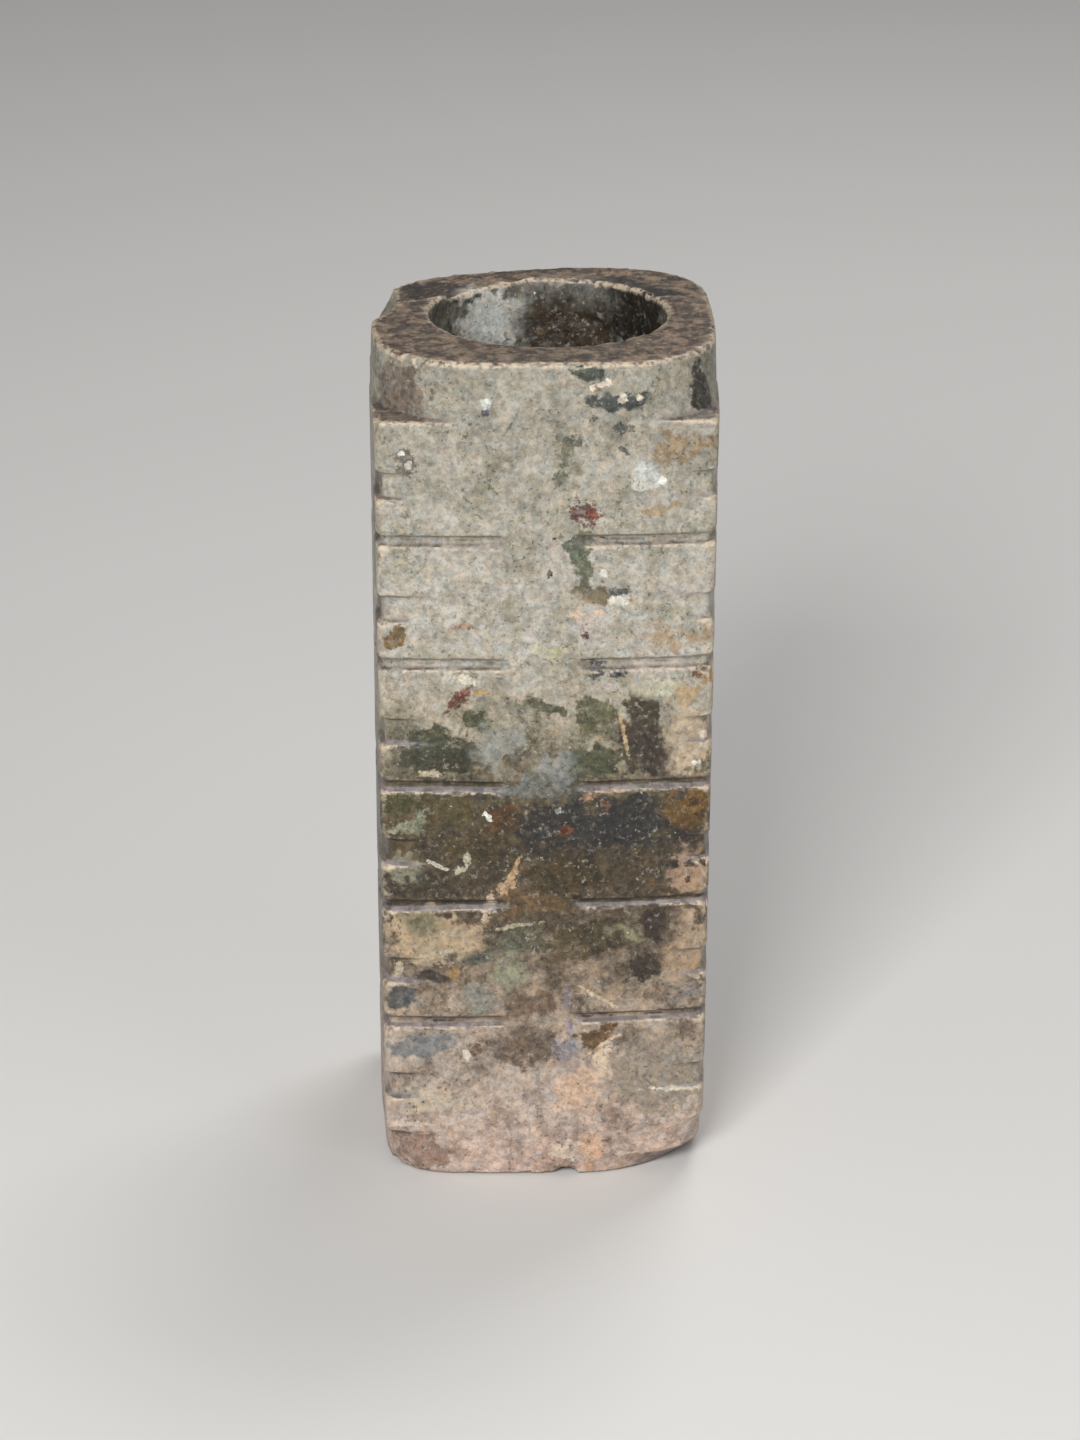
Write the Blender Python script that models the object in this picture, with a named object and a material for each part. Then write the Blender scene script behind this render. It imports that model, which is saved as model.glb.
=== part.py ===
"""A tall jade cong: a square block carved in six tiers around a round bore, with a low
collar at each end. It is one piece of stone, in metres, with +Z up. The origin is the
middle of the underside, and the front face looks along -Y."""

import math

import bmesh
import bpy
from mathutils import Vector

# The block
total_height = 0.187
top_width = 0.0748
foot_width = 0.0721
face_bow_radius = 0.500
block_corner_radius = 0.0018

# The lowest tier is worn round at its corners, up to this height
foot_wear_height = 0.020
foot_wear_radii = (0.0122, 0.0060, 0.0060, 0.0030)

# The two collars, which lean out a little to meet the block
rim_collar_height = 0.0123
foot_collar_height = 0.0104
collar_setback = 0.0007
collar_base_setback = 0.0003
collar_bow_radius = 0.292
collar_edge_wear = 0.0006
ledge_fall = 0.0005

# Collar corner radii: front right, back right, back left, front left
rim_corner_radii = (0.0212, 0.0203, 0.0203, 0.0216)
rim_base_radii = (0.0130, 0.0185, 0.0190, 0.0200)
foot_corner_radii = (0.0280, 0.0215, 0.0200, 0.0132)
foot_base_radii = (0.0070, 0.0080, 0.0080, 0.0040)
foot_swell_share = 0.30

# The six tiers, cut by hand: how far each one climbs towards the front right corner
tier_rises = (0.0003, 0.0004, 0.0003, 0.0008, 0.0018, 0.0023)
back_rise_share = 0.5

# The sawn groove between two tiers
groove_height = 0.0024
groove_depth = 0.0012

# The carving of one tier, from its top: a flat band, a cut back strip, a nose bar
band_height = 0.0111
strip_height = 0.0060
strip_depths = (0.0009, 0.0012, 0.0013, 0.0014)
strip_reach = 0.0160
nose_lip = 0.0008
cut_flank = 0.0005

# The shallow channel down the middle of each face, seen from outside
channel_left = 0.0103
channel_right = 0.0088
channel_depth = 0.0006
channel_flank = 0.0040

# The bore, drilled from both ends so that it narrows to a small step
rim_bore_radius = 0.0254
foot_bore_radius = 0.0247
waist_bore_radius = 0.0226
waist_step = 0.0005
waist_step_height = 0.0020
bore_edge_wear = 0.0005
bore_centre_x = 0.0012
bore_centre_y = 0.0017

# The layer broken off the back left of the rim, behind one straight step
break_start = (-0.0420, 0.0009)
break_end = (0.0120, 0.0381)
break_left_depth = 0.0029
break_right_depth = -0.0004

# The flake lost from the left of the rim, centred a little above it
rim_flake_centre = (-0.0415, 0.0185)
rim_flake_lift = 0.0006
rim_flake_radii = (0.0110, 0.0255, 0.0100)

# The chip lost from the front right edge of the third tier
edge_chip_height = 0.1078
edge_chip_radii = (0.0022, 0.0022, 0.0036)

# The notch and the chip lost from the front of the foot
foot_notch_centre = (0.0047, -0.0357)
foot_notch_radii = (0.0030, 0.0038, 0.0019)
foot_chip_centre = (-0.0344, -0.0284)
foot_chip_radii = (0.0040, 0.0030, 0.0016)
foot_flake_drop = 0.0001

# How finely the shapes are cut
face_steps = 3
corner_steps = 4
bore_steps = 2
large_flake_steps = 3
small_chip_steps = 2


def clear_scene():
    for item in list(bpy.data.objects):
        bpy.data.objects.remove(item, do_unlink=True)


def blend(low, high, share):
    return low + (high - low) * share


def half_width_at(height):
    return blend(foot_width, top_width, height / total_height) / 2


def turn_quarter(point, quarter):
    """Turn a point by whole quarter turns about the upright axis."""
    x, y = point
    for _ in range(quarter):
        x, y = -y, x
    return x, y


def corner_centre(half_width, bow_radius, corner_radius):
    """How far the centre of a corner arc lies from both middle planes."""
    setback = bow_radius - half_width
    reach = 2 * (bow_radius - corner_radius) ** 2 - setback ** 2
    return (math.sqrt(reach) - setback) / 2


def face_point(across, half_width, bow_radius):
    """A point on the bowed front face, at a distance across from its middle."""
    return across, bow_radius - half_width - math.sqrt(bow_radius ** 2 - across ** 2)


def corner_arc(half_width, bow_radius, corner_radius):
    """Points along the rounded front right corner, where both faces meet it smoothly."""
    centre = corner_centre(half_width, bow_radius, corner_radius)
    lean = math.asin(centre / (bow_radius - corner_radius))
    start = lean - math.pi / 2
    points = []
    for step in range(corner_steps + 1):
        angle = blend(start, -lean, step / corner_steps)
        x = centre + corner_radius * math.cos(angle)
        y = -centre + corner_radius * math.sin(angle)
        points.append((x, y))
    return points


def mirror_over_corner(point):
    """Carry a point of the front face to the same place on the right face."""
    x, y = point
    return -y, -x


def face_half(channel, half_width, corner_radius, inset, corner_cut):
    """Half a carved face, from the middle of its channel to where the corner starts."""
    floor = half_width - channel_depth
    surface = half_width - inset
    corner_x = corner_centre(surface, face_bow_radius, corner_radius)
    strip_start = surface - strip_reach
    points = [face_point(0.0, floor, face_bow_radius)]
    points.append(face_point(channel - channel_flank, floor, face_bow_radius))
    points.append(face_point(channel, surface, face_bow_radius))
    for step in range(1, face_steps):
        across = blend(strip_start, corner_x, (step - 1) / (face_steps - 1))
        x, y = face_point(across, surface, face_bow_radius)
        fade = max(0.0, (x - strip_start) / strip_reach)
        points.append((x, y + corner_cut * fade))
    return points


def block_quarter(half_width, corner_radius, inset, corner_cut):
    """The carved outline from the middle of the front to the middle of the right face."""
    front = face_half(channel_right, half_width, corner_radius, inset, corner_cut)
    side = face_half(channel_left, half_width, corner_radius, inset, corner_cut)
    arc = corner_arc(half_width - inset, face_bow_radius, corner_radius)
    corner = [(x - corner_cut, y + corner_cut) for x, y in arc]
    beyond = [mirror_over_corner(point) for point in reversed(side[1:])]
    return front + corner + beyond


def ray_to_circle(direction, centre, radius):
    """How far a ray from the axis runs before it leaves a circle."""
    along = direction.dot(centre)
    return along + math.sqrt(along ** 2 - centre.length_squared + radius ** 2)


def collar_point(angle, half_width, corner_radius):
    """The point of a plain collar at an angle from the middle of the front face."""
    direction = Vector((math.sin(angle), -math.cos(angle)))
    centre = corner_centre(half_width, collar_bow_radius, corner_radius)
    lean = math.asin(centre / (collar_bow_radius - corner_radius))
    tangent_x = centre + corner_radius * math.sin(lean)
    tangent_y = centre + corner_radius * math.cos(lean)
    corner_angle = math.atan2(tangent_x, tangent_y)
    bow_offset = collar_bow_radius - half_width
    if corner_angle <= angle <= math.pi / 2 - corner_angle:
        reach = ray_to_circle(direction, Vector((centre, -centre)), corner_radius)
    elif angle < corner_angle:
        reach = ray_to_circle(direction, Vector((0.0, bow_offset)), collar_bow_radius)
    else:
        reach = ray_to_circle(direction, Vector((-bow_offset, 0.0)), collar_bow_radius)
    return tuple(direction * reach)


def collar_quarter(half_width, corner_radius):
    """A plain quarter of a collar, with a point for each one of the carved outline."""
    first = math.atan2(channel_right, half_width)
    last = math.pi / 2 - math.atan2(channel_left, half_width)
    first_flank = math.atan2(channel_right - channel_flank, half_width)
    last_flank = math.pi / 2 - math.atan2(channel_left - channel_flank, half_width)
    between = 2 * (face_steps - 1) + corner_steps + 1
    angles = [0.0, first_flank, first]
    for step in range(1, between + 1):
        angles.append(blend(first, last, step / (between + 1)))
    angles += [last, last_flank]
    return [collar_point(angle, half_width, corner_radius) for angle in angles]


def carved_ring(height, inset=0.0, cuts=(0.0, 0.0, 0.0, 0.0), rise=0.0):
    """All round the block at one height, its lines climbing towards the front right."""
    half_width = half_width_at(height)
    wear = max(0.0, 1.0 - height / foot_wear_height)
    ring = []
    for quarter in range(4):
        worn = foot_wear_radii[quarter] - block_corner_radius
        radius = block_corner_radius + max(0.0, worn) * wear
        for point in block_quarter(half_width, radius, inset, cuts[quarter]):
            x, y = turn_quarter(point, quarter)
            to_right = 0.5 + x / (2 * half_width)
            to_front = 0.5 - y / (2 * half_width)
            share = to_right * blend(back_rise_share, 1.0, to_front)
            ring.append(Vector((x, y, height + rise * share)))
    return ring


def collar_ring(height, corner_radii, setback, wear=0.0):
    """All round a collar at one height, with its own radius at each corner."""
    half_width = half_width_at(height) - setback - wear
    ring = []
    for quarter, corner_radius in enumerate(corner_radii):
        for point in collar_quarter(half_width, corner_radius - wear):
            x, y = turn_quarter(point, quarter)
            ring.append(Vector((x, y, height)))
    return ring


def bore_ring(height, radius, outline):
    """Round the bore at one height, a point for each one of the outer outline."""
    ring = []
    for point in outline:
        angle = math.atan2(point.y, point.x)
        x = bore_centre_x + radius * math.cos(angle)
        y = bore_centre_y + radius * math.sin(angle)
        ring.append(Vector((x, y, height)))
    return ring


def tier_rings(top, bottom, rise):
    """One tier from top to bottom: band, cut back strip and nose bar with a worn lip."""
    strip_top = top - band_height
    nose_top = strip_top - strip_height
    lips = (nose_lip / 2,) * 4
    return [
        carved_ring(top, rise=rise),
        carved_ring(strip_top, rise=rise),
        carved_ring(strip_top - cut_flank, cuts=strip_depths, rise=rise),
        carved_ring(nose_top + cut_flank, cuts=strip_depths, rise=rise),
        carved_ring(nose_top, rise=rise),
        carved_ring(bottom + nose_lip, rise=rise),
        carved_ring(bottom, cuts=lips, rise=rise),
    ]


def rim_collar_rings():
    """The upper collar, from the worn edge of the rim down to the ledge."""
    base = total_height - rim_collar_height
    return [
        collar_ring(total_height, rim_corner_radii, collar_setback, collar_edge_wear),
        collar_ring(total_height - collar_edge_wear, rim_corner_radii, collar_setback),
        collar_ring(base, rim_base_radii, collar_base_setback),
    ]


def foot_collar_rings():
    """The lower collar, which swells and then rounds in towards the foot."""
    middle = []
    for low, high in zip(foot_corner_radii, foot_base_radii):
        middle.append(blend(high, low, foot_swell_share))
    base = foot_collar_height - ledge_fall
    return [
        collar_ring(base, foot_base_radii, collar_base_setback),
        collar_ring(foot_collar_height / 2, middle, collar_base_setback),
        collar_ring(collar_edge_wear, foot_corner_radii, collar_setback),
        collar_ring(0.0, foot_corner_radii, collar_setback, collar_edge_wear),
    ]


def outer_rings():
    """The outside from the rim down to the foot."""
    tier_count = len(tier_rises)
    tiers_top = total_height - rim_collar_height
    grooves = groove_height * (tier_count - 1)
    tier_height = (tiers_top - foot_collar_height - grooves) / tier_count
    rings = rim_collar_rings()
    top = tiers_top - ledge_fall
    for index, rise in enumerate(tier_rises):
        bottom = tiers_top - (index + 1) * tier_height - index * groove_height
        rings += tier_rings(top, bottom, rise)
        top = bottom - groove_height
        if index < tier_count - 1:
            next_rise = tier_rises[index + 1]
            rings.append(carved_ring(bottom - cut_flank, groove_depth, rise=rise))
            rings.append(carved_ring(top + cut_flank, groove_depth, rise=next_rise))
    return rings + foot_collar_rings()


def bore_rings(outline):
    """The wall of the bore from the foot up to the rim, with the step at its waist."""
    waist_low = total_height / 2 - waist_step_height / 2
    waist_high = waist_low + waist_step_height
    rings = [bore_ring(0.0, foot_bore_radius + bore_edge_wear, outline)]
    for step in range(bore_steps + 1):
        share = step / bore_steps
        height = blend(bore_edge_wear, waist_low, share)
        radius = blend(foot_bore_radius, waist_bore_radius - waist_step, share)
        rings.append(bore_ring(height, radius, outline))
    for step in range(bore_steps + 1):
        share = step / bore_steps
        height = blend(waist_high, total_height - bore_edge_wear, share)
        radius = blend(waist_bore_radius, rim_bore_radius, share)
        rings.append(bore_ring(height, radius, outline))
    rings.append(bore_ring(total_height, rim_bore_radius + bore_edge_wear, outline))
    return rings


def object_from_shape(name, shape):
    """Make an object of a finished bmesh."""
    mesh = bpy.data.meshes.new(name)
    shape.to_mesh(mesh)
    shape.free()
    item = bpy.data.objects.new(name, mesh)
    bpy.context.scene.collection.objects.link(item)
    return item


def skin_rings(name, rings):
    """Join a closed loop of rings into one solid, ring to ring."""
    shape = bmesh.new()
    loops = []
    for ring in rings:
        loops.append([shape.verts.new(point) for point in ring])
    count = len(loops[0])
    for index, loop in enumerate(loops):
        below = loops[(index + 1) % len(loops)]
        for place in range(count):
            after = (place + 1) % count
            corners = (loop[place], below[place], below[after], loop[after])
            shape.faces.new(corners)
    bmesh.ops.recalc_face_normals(shape, faces=shape.faces)
    return object_from_shape(name, shape)


def as_cutter(item):
    """Mark an object as a guide that only cuts."""
    item.hide_render = True
    item.display_type = "WIRE"
    return item


def flake(name, centre, height, radii, steps):
    """The rounded scoop that a lost flake leaves in the stone."""
    shape = bmesh.new()
    bmesh.ops.create_icosphere(shape, subdivisions=steps, radius=1.0)
    for vert in shape.verts:
        spread = Vector([radius * part for radius, part in zip(radii, vert.co)])
        vert.co = Vector((centre[0], centre[1], height)) + spread
    return as_cutter(object_from_shape(name, shape))


def rim_flake():
    """The flake lost where the rim meets the break."""
    height = total_height + rim_flake_lift
    return flake("rim_flake", rim_flake_centre, height, rim_flake_radii, large_flake_steps)


def edge_chip():
    """The small chip on the block's front right edge, always centred on that edge."""
    corner = half_width_at(edge_chip_height)
    place = (corner, -corner)
    return flake("edge_chip", place, edge_chip_height, edge_chip_radii, small_chip_steps)


def foot_flakes():
    """The notch and the chip at the front of the foot, centred just under it."""
    height = -foot_flake_drop
    notch = flake("foot_notch", foot_notch_centre, height, foot_notch_radii, small_chip_steps)
    chip = flake("foot_chip", foot_chip_centre, height, foot_chip_radii, small_chip_steps)
    return notch, chip


def rim_break():
    """The layer lost from the back left of the rim: a slab with a sloping underside."""
    start = Vector(break_start)
    along = Vector(break_end) - start
    back = Vector((-along.y, along.x)).normalized() * top_width
    footprint = [start, start + along, start + along + back, start + back]
    shape = bmesh.new()
    floor = []
    ceiling = []
    for point in footprint:
        share = (point.x - start.x) / along.x
        depth = blend(break_left_depth, break_right_depth, share)
        floor.append(shape.verts.new((point.x, point.y, total_height - depth)))
        ceiling.append(shape.verts.new((point.x, point.y, total_height + top_width)))
    shape.faces.new(floor)
    shape.faces.new(ceiling)
    for place in range(4):
        after = (place + 1) % 4
        shape.faces.new((floor[place], floor[after], ceiling[after], ceiling[place]))
    bmesh.ops.recalc_face_normals(shape, faces=shape.faces)
    return as_cutter(object_from_shape("rim_break", shape))


def cut(stone, cutter):
    """Take the cutter's shape out of the stone."""
    modifier = stone.modifiers.new(cutter.name, "BOOLEAN")
    modifier.operation = "DIFFERENCE"
    modifier.solver = "EXACT"
    modifier.object = cutter


def jade():
    """Weathered nephrite: grey green and brown, waxy where it is still polished."""
    material = bpy.data.materials.new("weathered_nephrite")
    material.use_nodes = True
    shader = material.node_tree.nodes["Principled BSDF"]
    shader.inputs["Base Color"].default_value = (0.27, 0.23, 0.17, 1.0)
    shader.inputs["Roughness"].default_value = 0.55
    shader.inputs["Metallic"].default_value = 0.0
    return material


def make_cong():
    outside = outer_rings()
    stone = skin_rings("cong", outside + bore_rings(outside[-1]))
    stone.data.materials.append(jade())
    for cutter in (rim_break(), rim_flake(), edge_chip(), *foot_flakes()):
        cut(stone, cutter)
    return stone


clear_scene()
make_cong()
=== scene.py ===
# %% [markdown]
# A tall jade cong, carved from one block of nephrite and long buried. This lesson dresses
# the carved solid: it wears the block's surface, then builds up the colours of the stone.
# It starts from the carved solid, which fixes every size and place.

# %% Load the carved solid
import math

import bpy
import numpy as np
from mathutils import Matrix, Vector
from mathutils import noise as point_noise
from mathutils.bvhtree import BVHTree


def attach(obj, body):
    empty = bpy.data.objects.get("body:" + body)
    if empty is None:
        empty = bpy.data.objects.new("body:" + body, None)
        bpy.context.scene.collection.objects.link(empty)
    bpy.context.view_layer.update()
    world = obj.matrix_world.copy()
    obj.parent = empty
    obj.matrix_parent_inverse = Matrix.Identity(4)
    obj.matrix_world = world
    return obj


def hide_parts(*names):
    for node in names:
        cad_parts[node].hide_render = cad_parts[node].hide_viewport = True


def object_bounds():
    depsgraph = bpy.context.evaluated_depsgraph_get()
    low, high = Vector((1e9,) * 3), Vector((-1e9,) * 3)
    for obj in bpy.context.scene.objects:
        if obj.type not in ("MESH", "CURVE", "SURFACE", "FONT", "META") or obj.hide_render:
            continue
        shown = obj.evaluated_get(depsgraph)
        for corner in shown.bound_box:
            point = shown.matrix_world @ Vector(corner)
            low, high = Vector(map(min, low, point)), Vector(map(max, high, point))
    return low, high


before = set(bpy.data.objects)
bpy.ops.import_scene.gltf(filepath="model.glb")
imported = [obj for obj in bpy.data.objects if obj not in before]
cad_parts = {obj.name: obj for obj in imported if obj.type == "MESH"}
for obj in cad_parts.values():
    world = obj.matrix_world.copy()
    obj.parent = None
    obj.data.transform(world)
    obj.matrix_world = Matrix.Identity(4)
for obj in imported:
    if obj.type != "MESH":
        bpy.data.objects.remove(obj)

MM = 0.001
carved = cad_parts["cong"]
cad_low, cad_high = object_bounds()
total_height = cad_high.z
print("carved solid, mm:", [round(side / MM, 1) for side in cad_high - cad_low])

# %% [markdown]
# The camera stands 1.1 m away, a little above the rim, as a photographer would for a piece
# this tall. A long lens keeps the upright edges nearly parallel. The picture is 1080 by
# 1440, so the lens follows from how many pixels of that picture one radian covers.

# %% Camera
picture_size = (1080, 1440)
pixels_per_radian = 4995.5
camera_distance = 1.1
camera_lift = math.radians(21.13)
camera_turn = math.radians(-1.5)
camera_roll = math.radians(0.16)
aim_point = Vector((-0.0003, 0.0, 0.0939))

turn = Matrix.Rotation(camera_turn, 4, "Z")
aim = turn @ aim_point
back = turn @ Vector((0.0, -math.cos(camera_lift), math.sin(camera_lift)))
tip = Matrix.Rotation(math.pi / 2 - camera_lift, 4, "X")
roll = Matrix.Rotation(camera_roll, 4, "Z")

bpy.ops.object.camera_add()
camera = bpy.context.active_object
camera.name = "camera"
camera.matrix_world = Matrix.Translation(aim + back * camera_distance) @ turn @ tip @ roll
camera.data.sensor_width = 36
camera.data.lens = camera.data.sensor_width * pixels_per_radian / picture_size[1]
bpy.context.scene.camera = camera
print("lens, mm:", round(camera.data.lens, 1))

# %% [markdown]
# Chips and stains are placed by where they are seen in the picture. A line of sight from the
# camera through a pixel meets the carved solid at one point, and that is their place. From
# then on a mark belongs to the stone, so it stays put when the stone is seen from elsewhere.

# %% Find a pixel's place on the stone
carved_faces = BVHTree.FromObject(carved, bpy.context.evaluated_depsgraph_get())


def on_stone(pixel):
    """Where the line of sight through a pixel meets the stone, and the way it faces."""
    across = (pixel[0] - picture_size[0] / 2) / pixels_per_radian
    up = (picture_size[1] / 2 - pixel[1]) / pixels_per_radian
    start = camera.matrix_world.translation
    direction = camera.matrix_world.to_3x3() @ Vector((across, up, -1.0))
    place, normal, _, _ = carved_faces.ray_cast(start, direction.normalized())
    return place, normal


middle_place, _ = on_stone((picture_size[0] / 2, picture_size[1] / 2))
print("middle of the picture, mm:", [round(side / MM, 1) for side in middle_place])

# %% [markdown]
# Polished stone needs big soft lights: a small lamp would burn one white spot into it. The
# main light hangs almost in front and a little to the left, so the rounded corners of the
# block fall off darker. A weak one fills the right. A third lights the back from high up,
# where the flat rim doesn't mirror it into the camera, and the pale room does the rest. The
# standard view keeps the colours as they are mixed.

# %% Colours
def srgb(code):
    """Turn a hex colour into the linear values that the shader works with."""
    channels = []
    for start in (1, 3, 5):
        value = int(code[start:start + 2], 16) / 255
        low = value / 12.92
        high = ((value + 0.055) / 1.055) ** 2.4
        channels.append(low if value <= 0.04045 else high)
    return (*channels, 1.0)


print("middle grey in linear light:", round(srgb("#808080")[0], 3))

# %% Lights and floor
floor_size = 8.0
light_aim = Vector((0.0, 0.0, 0.09))
room_brightness = 0.26


def soft_light(name, place, size, watts):
    """Hang one wide light at a place and turn it towards the stone."""
    bpy.ops.object.light_add(type="AREA", location=place)
    lamp = bpy.context.active_object
    lamp.name = name
    lamp.data.size = size
    lamp.data.energy = watts
    lamp.rotation_euler = (light_aim - lamp.location).to_track_quat("-Z", "Y").to_euler()


soft_light("key_light", place=(-0.30, -1.10, 0.72), size=0.40, watts=13.5)
soft_light("fill_light", place=(0.80, -0.90, 0.45), size=0.60, watts=2.0)
soft_light("back_light", place=(0.34, 0.62, 1.15), size=0.50, watts=5.0)

world = bpy.data.worlds.new("pale_room")
world.use_nodes = True
room = world.node_tree.nodes["Background"]
room.inputs["Color"].default_value = srgb("#dcdcdc")
room.inputs["Strength"].default_value = room_brightness
bpy.context.scene.world = world
bpy.context.scene.view_settings.view_transform = "Standard"

bpy.ops.mesh.primitive_plane_add(size=floor_size, location=(0.0, 0.0, 0.0))
floor = bpy.context.active_object
floor.name = "floor"
floor_paint = bpy.data.materials.new("matt_pale_paint")
floor_paint.use_nodes = True
floor_shader = floor_paint.node_tree.nodes["Principled BSDF"]
floor_shader.inputs["Base Color"].default_value = srgb("#e9e7e4")
floor_shader.inputs["Roughness"].default_value = 0.8
floor.data.materials.append(floor_paint)

# %% [markdown]
# The carved solid has clean edges and flat facets, but thousands of years have rubbed and
# pitted the real stone. Its mesh is only borrowed, so a copy is worn instead. The copy is
# remade as an even skin of small squares, because dents need points to move everywhere.

# %% Copy the carved block and remake its skin
skin_size = 0.50 * MM
weld_gap = 0.001 * MM


def select_only(item):
    """Select one object and make it the active one."""
    bpy.ops.object.select_all(action="DESELECT")
    item.select_set(True)
    bpy.context.view_layer.objects.active = item


def apply_new(item, name, kind, **settings):
    """Give an object one modifier with its settings, and apply it at once."""
    modifier = item.modifiers.new(name, kind)
    for setting, value in settings.items():
        setattr(modifier, setting, value)
    select_only(item)
    bpy.ops.object.modifier_apply(modifier=modifier.name)


stone = bpy.data.objects.new("weathered_cong", carved.data.copy())
bpy.context.scene.collection.objects.link(stone)
stone.data.materials.clear()
select_only(stone)
bpy.ops.object.mode_set(mode="EDIT")
bpy.ops.mesh.select_all(action="SELECT")
bpy.ops.mesh.remove_doubles(threshold=weld_gap)
bpy.ops.mesh.normals_make_consistent(inside=False)
bpy.ops.object.mode_set(mode="OBJECT")
apply_new(stone, "even_skin", "REMESH", mode="VOXEL", voxel_size=skin_size)
apply_new(stone, "rubbed_smooth", "SMOOTH", factor=0.5, iterations=1)
print("even skin:", len(stone.data.polygons), "faces")

# %% [markdown]
# Wear isn't even. What stands proud, such as a ridge, is rubbed bright and chipped, and what
# lies deep, such as a groove, keeps its dirt; the material also paints shade into the deep
# places and a highlight onto the proud ones that face up. How proud each point stands is
# measured against a much smoother copy of the stone, and kept on the mesh for the material
# to read.

# %% Measure how proud each point stands
smoothing_rounds = 45
edge_reach = 0.40 * MM
edge_start_share = 0.3
weight_steps = 20


def points_of(item, what="co"):
    """All of a mesh's points, or the ways they face, as rows of numbers."""
    flat = np.zeros(len(item.data.vertices) * 3, np.float32)
    item.data.vertices.foreach_get(what, flat)
    return flat.reshape(-1, 3)


def measure_proud(item):
    """How far each point stands out of a smoothed copy, in metres."""
    smooth = bpy.data.objects.new("smoothed_copy", item.data.copy())
    bpy.context.scene.collection.objects.link(smooth)
    apply_new(smooth, "very_smooth", "SMOOTH", factor=0.5, iterations=smoothing_rounds)
    offset = points_of(item) - points_of(smooth)
    bpy.data.objects.remove(smooth, do_unlink=True)
    return (offset * points_of(item, "normal")).sum(axis=1)


def weight_points(item, name, weights):
    """Store one weight from 0 to 1 for each point, as a vertex group."""
    group = item.vertex_groups.new(name=name)
    steps = np.round(np.clip(weights, 0.0, 1.0) * weight_steps) / weight_steps
    for step in np.unique(steps):
        if step > 0:
            members = np.nonzero(steps == step)[0].tolist()
            group.add(members, float(step), "REPLACE")


bore_centre = Vector((1.2 * MM, 1.7 * MM))
bore_reach = 26.6 * MM
rough_start = 1.0 * MM
rough_fade = 9.0 * MM


def from_bore_axis(places):
    """How far each place lies from the upright middle line of the bore."""
    return np.hypot(places[:, 0] - bore_centre.x, places[:, 1] - bore_centre.y)


proud = measure_proud(stone)
points = points_of(stone)
to_ends = np.minimum(points[:, 2], total_height - points[:, 2])
roughness = (from_bore_axis(points) < bore_reach) * (to_ends - rough_start) / rough_fade
weight_points(stone, "edges", (proud - edge_start_share * edge_reach) / edge_reach)
weight_points(stone, "bore", roughness)
weight_points(stone, "away_from_ends", (to_ends - rough_start) / rough_fade)
print("most proud, mm:", round(float(proud.max()) / MM, 2))

# %% [markdown]
# A few chips are large enough to be seen one by one: two nicks in the rim's outer edge, three
# where the bore breaks out through the rim, and three along the foot. Each is a round dent
# that fades out from its middle, and a fine cloud of noise makes its floor rough.

# %% Mark where the chips are
chip_reach = 1.6 * MM
chips = {
    "left nick in the rim": (406, 359),
    "right nick in the rim": (420, 361),
    "chip in the bore's edge, left": (595, 345),
    "chip in the bore's edge, middle": (621, 341),
    "chip in the bore's edge, right": (651, 332),
    "chip in the foot, far left": (390, 1143),
    "chip in the foot, left": (408, 1164),
    "chip in the foot, right": (671, 1146),
}
chipped = np.zeros(len(points))
for pixel in chips.values():
    away = np.linalg.norm(points - np.array(on_stone(pixel)[0]), axis=1)
    chipped = np.maximum(chipped, 1 - away / chip_reach)
weight_points(stone, "chips", chipped)
print("chips:", len(chips), "with", int((chipped > 0).sum()), "points")

# %% [markdown]
# Now the wear itself. Each kind is one cloud of noise that pushes points inwards: wide and
# shallow for rubbing, small for grain, strong on the edges only for nicks, and deep in the
# bore, which was drilled with sand and never polished. A cloud is clamped, so it is never
# less than zero and only takes stone away. Before them, one wide cloud bends the sawn lines.

# %% Wear the surface
line_bend_size = 30 * MM
line_bend_amount = 0.6 * MM


def cloud(name, size, contrast=1.0, depth=2, brightness=1.0):
    """A cloud texture with blotches of about the given size."""
    texture = bpy.data.textures.new(name, "CLOUDS")
    texture.noise_scale = size
    texture.noise_depth = depth
    texture.contrast = contrast
    texture.intensity = brightness
    texture.use_clamp = True
    return texture


def wear(name, size, amount, group="", **looks):
    """Take stone away where a cloud is bright, by up to about an amount."""
    texture = cloud(name, size, **looks)
    settings = {"texture": texture, "texture_coords": "LOCAL", "mid_level": 0.0}
    settings["strength"] = -amount
    settings["vertex_group"] = group
    apply_new(stone, name, "DISPLACE", **settings)


line_bend = {"texture": cloud("line_bend", line_bend_size), "texture_coords": "LOCAL"}
line_bend["direction"] = "Z"
line_bend["strength"] = line_bend_amount
line_bend["vertex_group"] = "away_from_ends"
apply_new(stone, "bent_lines", "DISPLACE", **line_bend)
wear("hand_rubbing", size=12 * MM, amount=0.16 * MM)
wear("nicked_edges", size=3.0 * MM, amount=1.1 * MM, group="edges", contrast=4.0, brightness=0.2)
wear("chipped_edges", size=1.2 * MM, amount=0.40 * MM, group="edges", contrast=2.4, brightness=0.8)
wear("chips", size=0.9 * MM, amount=1.2 * MM, group="chips")
wear("drill_marks", size=2.4 * MM, amount=0.8 * MM, group="bore", contrast=1.6, depth=4)
wear("grain", size=0.9 * MM, amount=0.11 * MM)
worn_away = np.linalg.norm(points_of(stone) - points, axis=1)
print("points moved by up to, mm:", round(float(worn_away.max()) / MM, 2))

# %% [markdown]
# The skin is finer than the piece can afford, so decimate merges points. The front keeps
# all of its points, because they also carry the colours of the marks there, and the
# thinning falls on the other sides and the bore, where it spares edges and grooves.

# %% Thin the mesh and keep how proud each point stands
triangle_limit = 196000
facing_front = -0.5

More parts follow.
